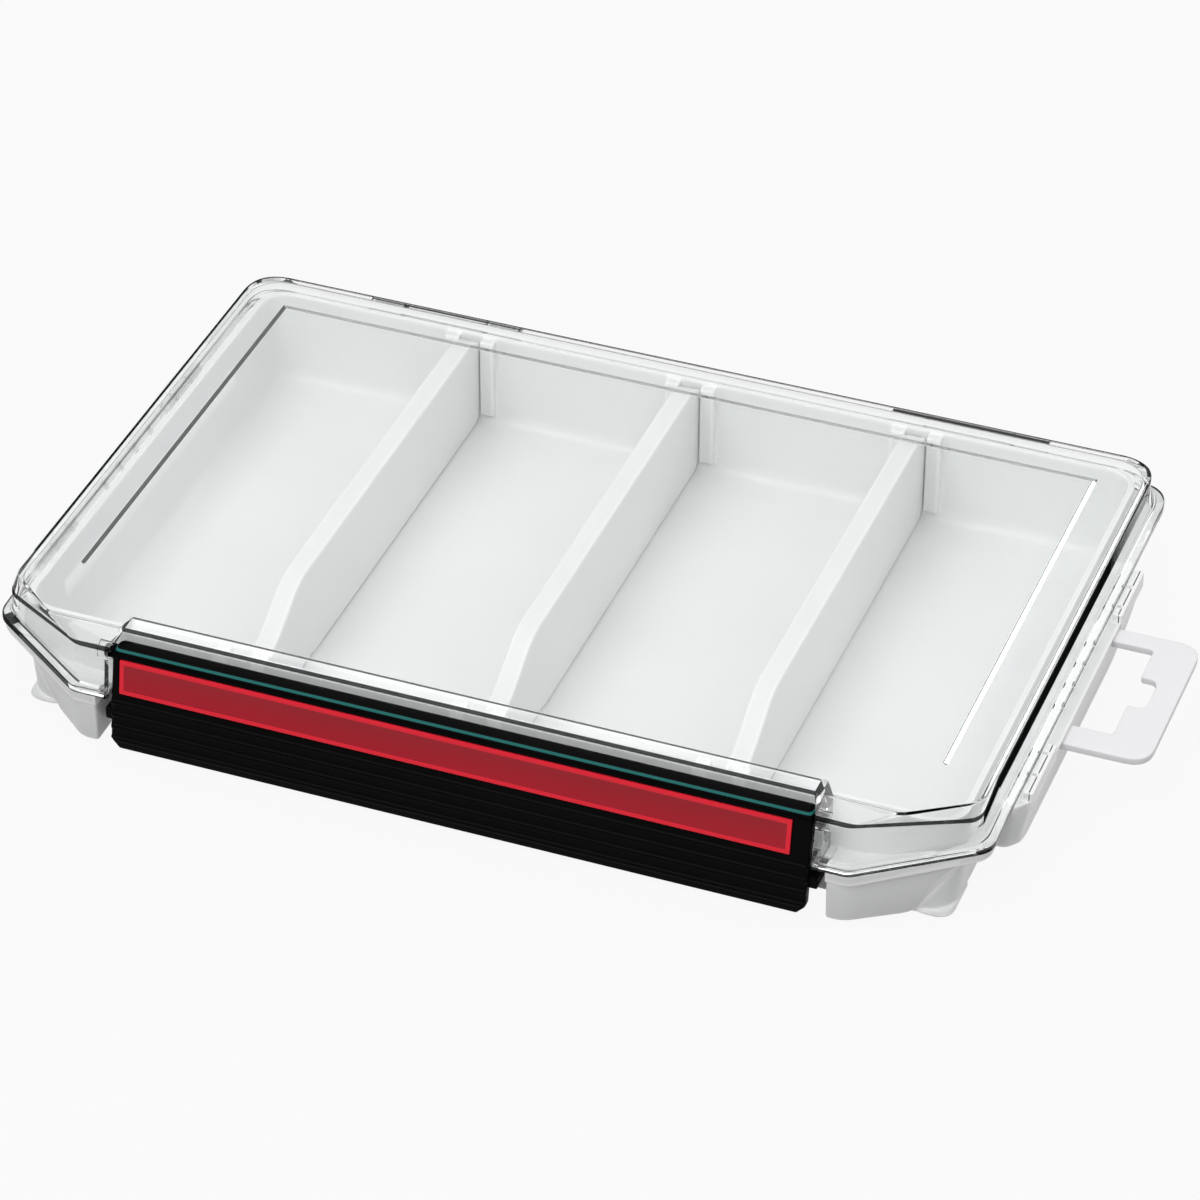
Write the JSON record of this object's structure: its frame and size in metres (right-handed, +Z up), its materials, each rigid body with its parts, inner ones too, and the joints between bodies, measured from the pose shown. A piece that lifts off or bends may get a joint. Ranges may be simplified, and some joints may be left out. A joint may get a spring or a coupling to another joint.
{
  "type": "fishing tackle box",
  "caption": "Flat tackle case with a pale divided tray, clear hinged lid, full-width front latch and side hang tab.",
  "frame": {"origin": "middle of the tray's flat underside, level with the surface the case rests on", "axes": "+X to the hang tab's side, +Y from the latch to the hinge, +Z up through the lid"},
  "size_m": [0.2327, 0.1427, 0.027],
  "materials": {
    "tray": "satin moulded, pale grey white",
    "divider": "satin moulded, pale grey white",
    "lid": "clear polished",
    "latch": "smooth black",
    "strip": "fine-textured red",
    "pin": "plain drawn wire",
    "tab": "milky translucent"
  },
  "bodies": {
    "tray": {"base_tray": "tray", "divider_left": "divider", "divider_middle": "divider", "divider_right": "divider", "hinge_pin_left": "pin", "hinge_pin_right": "pin", "hang_tab": "tab"},
    "cover": {"lid": "lid"},
    "latch_bar": {"latch": "latch", "latch_strip": "strip"}
  },
  "joints": [
    {"name": "lid_hinge", "type": "hinge", "parent": "tray", "child": "cover", "pos_m": [0, 0.0695, 0.0164], "axis": [-1, 0, 0], "range_deg": [0, 180]},
    {"name": "latch_hinge", "type": "hinge", "parent": "cover", "child": "latch_bar", "pos_m": [0, -0.0654, 0.0222], "axis": [-1, 0, 0], "range_deg": [0, 110]}
  ]
}
